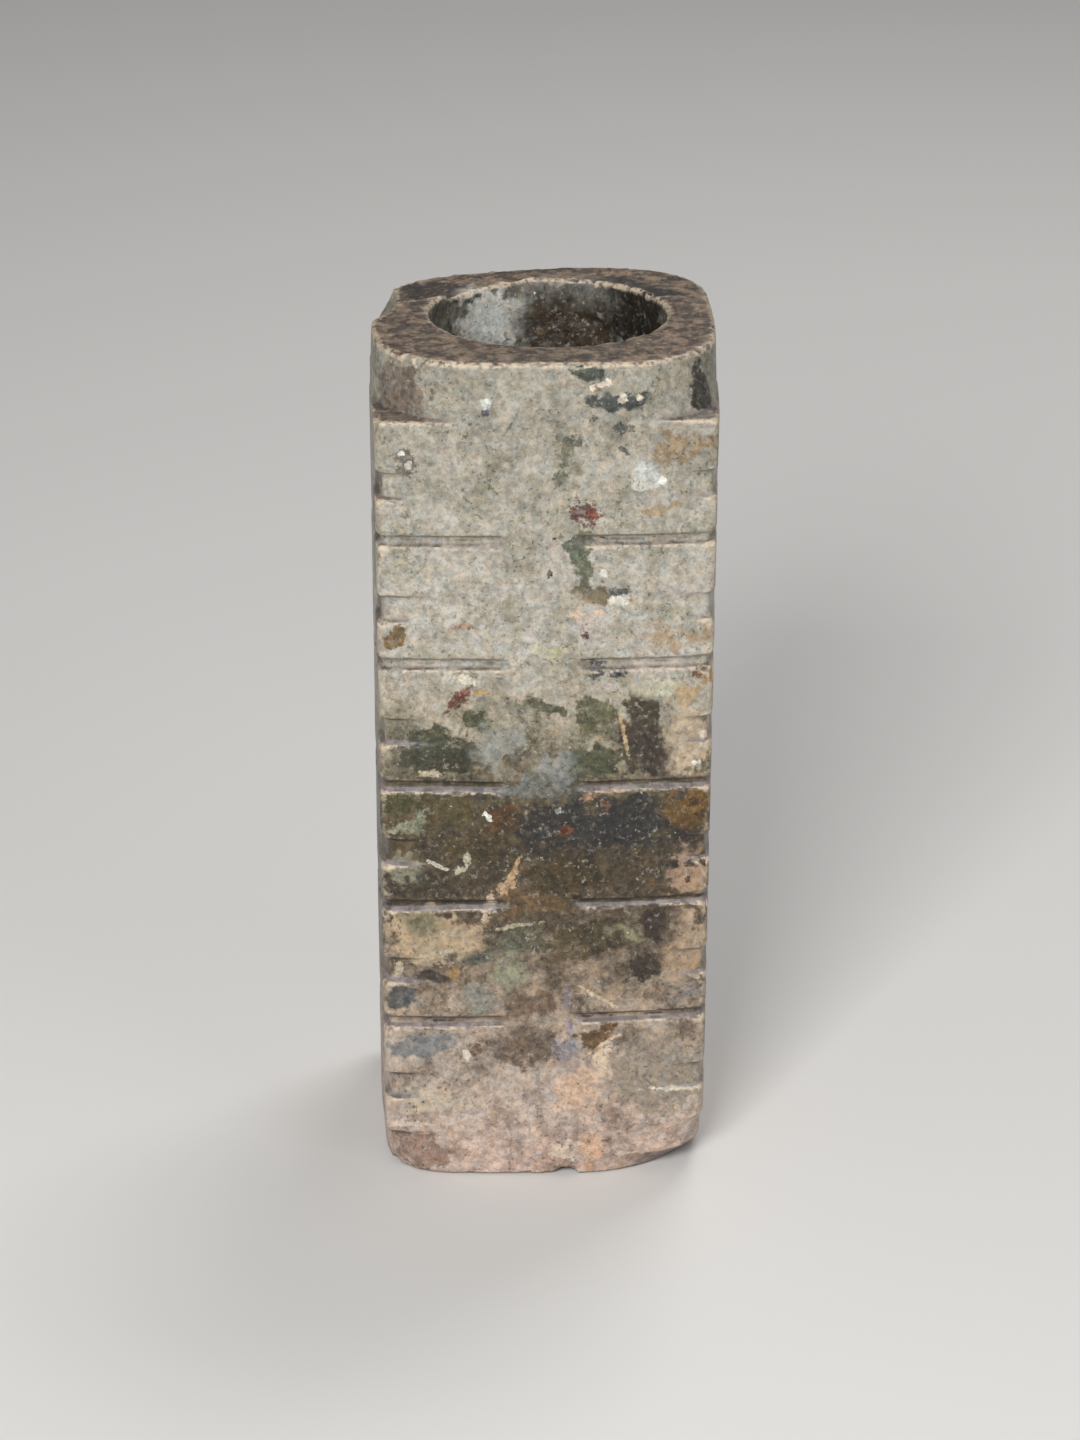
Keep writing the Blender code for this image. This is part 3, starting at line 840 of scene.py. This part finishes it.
axis = (bore_centre.x / MM, bore_centre.y / MM, 0.0)
outward = add("VectorMath", [millimetres, axis], operation="SUBTRACT")
flat = add("VectorMath", [outward, (1.0, 1.0, 0.0)], operation="MULTIPLY")
from_axis = add("VectorMath", [flat], "Value", operation="LENGTH")
bore_tone = add("MapRange", [pattern["bore"], 0.40, 0.60], **SMOOTH)
bore_skin = add("Mix", {0: bore_tone, 6: srgb("#77736c"), 7: srgb("#3f382f")}, 2, **COLOURS)
in_bore = add("MapRange", [from_axis, 25.2, 25.9, 1.0, 0.0], **SMOOTH)
colour = add("Mix", {0: in_bore, 6: colour, 7: bore_skin}, 2, **COLOURS)
print("nodes so far:", len(tree.nodes))

# %% [markdown]
# Now the stored marks go over the ground. Where an area fades out, a rough noise decides
# patch by patch and grain by grain which of the two colours shows, as in real stone. A
# smaller noise eats into the edges of the spots and glints and lets a little of the stone
# under them through.

# %% Lay the areas, spots and glints over the ground
area_amount = add("Attribute", [], "Alpha", attribute_name="area_colour")
area_tint = area_amount.node.outputs["Color"]
area_share = add("Math", [pattern["broken borders"], 2.0, area_amount], operation="MULTIPLY_ADD")
area_shown = add("MapRange", [area_share, 1.30, 1.70], **SMOOTH)
colour = add("Mix", {0: area_shown, 6: colour, 7: area_tint}, 2, **COLOURS)


def cut_out(under, kind, least_shown):
    """Lay the nearest spots or glints over what is under them, with eaten edges."""
    outside_it = add("Attribute", [], "Fac", attribute_name=kind + "_outside")
    its_colour = add("Attribute", [], "Color", attribute_name=kind + "_colour")
    uneven = add("Math", [pattern["eaten edges"], 2.4, outside_it], operation="MULTIPLY_ADD")
    inside = add("MapRange", [uneven, 1.10, 1.40, 1.0, 0.0], **SMOOTH)
    strength = add("MapRange", [pattern["see through"], 0.35, 0.60, least_shown, 1.0], **SMOOTH)
    amount = add("Math", [inside, strength], operation="MULTIPLY")
    return add("Mix", {0: amount, 6: under, 7: its_colour}, 2, **COLOURS)


colour = cut_out(colour, "spot", least_shown=0.45)
colour = cut_out(colour, "glint", least_shown=0.50)
print("nodes so far:", len(tree.nodes))

# %% [markdown]
# Over all this lies the fine make of the stone, the same on every side: a mottle of light
# and dark fibres, dark specks, pale flecks where the surface has altered, pale curls and
# dark hair cracks. The mottle scales the stone's own colour up or down, more so in dark
# stone, which is the clearer one: light goes in and is lost, so it is also darkened as a
# whole. The flecks and curls are laid over it in a dull cream, because scaled up they
# would come out as bright as paint.

# %% The fine make of the stone
warm_cast = (1.08, 1.00, 0.89, 1.0)
cool_cast = (0.96, 1.01, 1.03, 1.0)
tint = add("MapRange", [pattern["tint"], 0.36, 0.64], **SMOOTH)
cast = add("Mix", {0: tint, 6: cool_cast, 7: warm_cast}, 2, **COLOURS)
colour = add("VectorMath", [colour, cast], operation="MULTIPLY")
tone = add("RGBToBW", [colour])

shade = add("MapRange", [pattern["mottle"], 0.34, 0.66, 0.70, 1.27], **SMOOTH)
blotches = add("MapRange", [pattern["blotches"], 0.36, 0.64, 0.90, 1.10], **SMOOTH)
shade = add("Math", [shade, blotches], operation="MULTIPLY")
contrast = add("MapRange", [tone, 0.05, 0.30, 2.1, 1.0], **SMOOTH)
shade = add("Math", [shade, contrast], operation="POWER")
light_kept = add("MapRange", [tone, 0.06, 0.34, 0.52, 1.0], **SMOOTH)
shade = add("Math", [shade, light_kept], operation="MULTIPLY")

specks = add("MapRange", [pattern["specks"], 0.60, 0.66], **SMOOTH)
speck_areas = add("MapRange", [pattern["speck areas"], 0.40, 0.60, 0.45, 1.0], **SMOOTH)
specks = add("Math", [specks, speck_areas], operation="MULTIPLY")
speck_shade = add("Math", [specks, -0.56, 1.0], operation="MULTIPLY_ADD")
shade = add("Math", [shade, speck_shade], operation="MULTIPLY")

flecks = add("MapRange", [pattern["flecks"], 0.57, 0.66], **SMOOTH)
fleck_areas = add("MapRange", [pattern["fleck areas"], 0.42, 0.62, 0.20, 1.0], **SMOOTH)
chalk = add("Math", [flecks, fleck_areas], operation="MULTIPLY")
print("nodes so far:", len(tree.nodes))


# %% Curls and hair cracks
def thin_lines(name, width):
    """Thin curved lines, where a pattern crosses its middle value."""
    signed = add("Math", [pattern[name], 0.5], operation="SUBTRACT")
    off_line = add("Math", [signed], operation="ABSOLUTE")
    lines = add("MapRange", [off_line, 0.4 * width, width, 1.0, 0.0], **SMOOTH)
    in_places = add("MapRange", [pattern["see through"], 0.50, 0.62], **SMOOTH)
    return add("Math", [lines, in_places], operation="MULTIPLY")


curls = thin_lines("curls", width=0.030)
cracks = thin_lines("cracks", width=0.014)
crack_shade = add("Math", [cracks, -0.45, 1.0], operation="MULTIPLY_ADD")
shade = add("Math", [shade, crack_shade], operation="MULTIPLY")
colour = add("VectorMath", {0: colour, 3: shade}, operation="SCALE")
chalk_shown = add("Math", [chalk, 0.42], operation="MULTIPLY")
colour = add("Mix", {0: chalk_shown, 6: colour, 7: srgb("#cfc7b7")}, 2, **COLOURS)
curls_shown = add("Math", [curls, 0.24], operation="MULTIPLY")
colour = add("Mix", {0: curls_shown, 6: colour, 7: srgb("#b5ab99")}, 2, **COLOURS)
print("nodes so far:", len(tree.nodes))

# %% [markdown]
# A few open pits and small white dots are sown over it, one of each at most in a cell of a
# few millimetres. Each cell's own random colour gives their sizes, and most get none.

# %% Pits and white dots
cell_size = 2.4
cell_feeds = {"Vector": nibbled, "Scale": 1 / cell_size}
cell_colour = add("TexVoronoi", cell_feeds, "Color", feature="F1")
off_middle = cell_colour.node.outputs["Distance"]
red_chance = add("SeparateColor", [cell_colour])
green_chance = red_chance.node.outputs[1]

pit_size = add("MapRange", [red_chance, 0.86, 1.0, 0.0, 0.11], **SMOOTH)
pits = add("Math", [off_middle, pit_size], operation="LESS_THAN")
pits_shown = add("Math", [pits, 0.80], operation="MULTIPLY")
colour = add("Mix", {0: pits_shown, 6: colour, 7: srgb("#2c2722")}, 2, **COLOURS)
dot_size = add("MapRange", [green_chance, 0.80, 1.0, 0.0, 0.09], **SMOOTH)
dots = add("Math", [off_middle, dot_size], operation="LESS_THAN")
dots_shown = add("Math", [dots, 0.60], operation="MULTIPLY")
colour = add("Mix", {0: dots_shown, 6: colour, 7: srgb("#d2cbbd")}, 2, **COLOURS)
print("nodes so far:", len(tree.nodes))

# %% [markdown]
# Last come use and burial, and some painted light. Ledges hold a purple grey film, thinner
# towards the top of the block. Dark dirt and painted shade line the grooves, hollows and
# undersides, and edges that face up are rubbed to a bright cream that is partly a painted
# highlight. All of it is broken up by noise, so that no edge is outlined evenly.

# %% Film on the ledges, dirt and painted shade, and edges with a painted highlight
ledge_top_mm = 178.0
upper_half = (0.52, 0.66)
proud_mm = add("Attribute", [], "Fac", attribute_name="proud_mm")
stray = add("Math", [pattern["stray"], 0.12, -0.06], operation="MULTIPLY_ADD")
uneven_proud = add("Math", [proud_mm, stray], operation="ADD")
uneven_facing = add("Math", [faces_up, stray], operation="ADD")
out_of_bore = add("MapRange", [from_axis, 26.2, 27.0], **SMOOTH)
true_height = add("SeparateXYZ", [millimetres], 2)
below_rim = add("Math", [true_height, ledge_top_mm], operation="LESS_THAN")
on_tiers = add("Math", [out_of_bore, below_rim], operation="MULTIPLY")

film = add("MapRange", [uneven_facing, 0.30, 0.62, 0.0, 0.80], **SMOOTH)
thinner_above = add("MapRange", [height_share, *upper_half, 1.0, 0.35], **SMOOTH)
film = add("Math", [film, thinner_above], operation="MULTIPLY")
film = add("Math", [film, on_tiers], operation="MULTIPLY")
film_colour = add("Mix", {0: skin_tone, 6: srgb("#a09796"), 7: srgb("#746c6b")}, 2, **COLOURS)
colour = add("Mix", {0: film, 6: colour, 7: film_colour}, 2, **COLOURS)

# Painted shade: the inner corners of the grooves, the hollows and the undersides are darkened as if
# in shadow, mixed with dirt, less so towards the top.
painted_shade_in_grooves = add("MapRange", [uneven_proud, -0.42, -0.29, 0.95, 0.0], **SMOOTH)
painted_shade_in_hollows = add("MapRange", [uneven_proud, -0.20, -0.08, 0.28, 0.0], **SMOOTH)
painted_shade_on_undersides = add("MapRange", [uneven_facing, -0.75, -0.35, 0.65, 0.0], **SMOOTH)
dirt_and_painted_shade = add("Math", [painted_shade_in_grooves, painted_shade_on_undersides], operation="MAXIMUM")
dirt_and_painted_shade = add("Math", [dirt_and_painted_shade, painted_shade_in_hollows], operation="MAXIMUM")
less_dirt_and_shade_above = add("MapRange", [height_share, *upper_half, 1.0, 0.65], **SMOOTH)
dirt_and_painted_shade = add("Math", [dirt_and_painted_shade, less_dirt_and_shade_above], operation="MULTIPLY")
dirt_and_painted_shade = add("Math", [dirt_and_painted_shade, on_tiers], operation="MULTIPLY")
colour = add("Mix", {0: dirt_and_painted_shade, 6: colour, 7: srgb("#352f2a")}, 2, **COLOURS)

# Painted highlight: edges that face up are lightened to cream as if catching light from above, on
# top of real rubbing.
on_edges = add("MapRange", [uneven_proud, 0.12, 0.26], **SMOOTH)
in_places = add("MapRange", [pattern["rubbing"], 0.36, 0.56], **SMOOTH)
highlight_from_above = add("MapRange", [faces_up, -0.20, 0.25, 0.20, 0.85], **SMOOTH)
rubbed_and_highlit = add("Math", [on_edges, in_places], operation="MULTIPLY")
rubbed_and_highlit = add("Math", [rubbed_and_highlit, highlight_from_above], operation="MULTIPLY")
colour = add("Mix", {0: rubbed_and_highlit, 6: colour, 7: srgb("#d8c5ab")}, 2, **COLOURS)
print("nodes so far:", len(tree.nodes))

# %% [markdown]
# Nephrite takes a waxy polish, and this one has kept part of it. Dark stone is the
# glossiest, pale stone, flecks and the bore are dull, and small bumps break the shine up
# into glints. The refractive index is that of nephrite, with some shine lost to weather.

# %% Shine and small bumps
bump_height = 0.16 * MM
dullness = add("MapRange", [tone, 0.04, 0.35, 0.27, 0.44], **SMOOTH)
dull_fibres = add("MapRange", [pattern["mottle"], 0.30, 0.70, 0.08, 0.0], **SMOOTH)
dullness = add("Math", [dullness, dull_fibres], operation="ADD")
dullness = add("Math", [chalk, 0.18, dullness], operation="MULTIPLY_ADD")
dullness = add("Math", [in_bore, 0.15, dullness], operation="MULTIPLY_ADD")

relief = add("Math", [pattern["mottle"], 1.5, pattern["bumps"]], operation="MULTIPLY_ADD")
relief = add("Math", [specks, -0.25, relief], operation="MULTIPLY_ADD")
relief = add("Math", [relief, pits], operation="SUBTRACT")
bump = add("Bump", {"Height": relief, "Distance": bump_height, "Strength": 0.7}, "Normal")
print("nodes so far:", len(tree.nodes))

# %% Wire the shader and finish the piece
nephrite_ior = 1.61
weathered_shine = 0.36
shader.inputs["IOR"].default_value = nephrite_ior
shader.inputs["Specular IOR Level"].default_value = weathered_shine
tree.links.new(colour, shader.inputs["Base Color"])
tree.links.new(dullness, shader.inputs["Roughness"])
tree.links.new(bump, shader.inputs["Normal"])
stone.data.materials.append(nephrite)
print("nodes in the material:", len(tree.nodes))
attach(stone, "root")
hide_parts("cong")
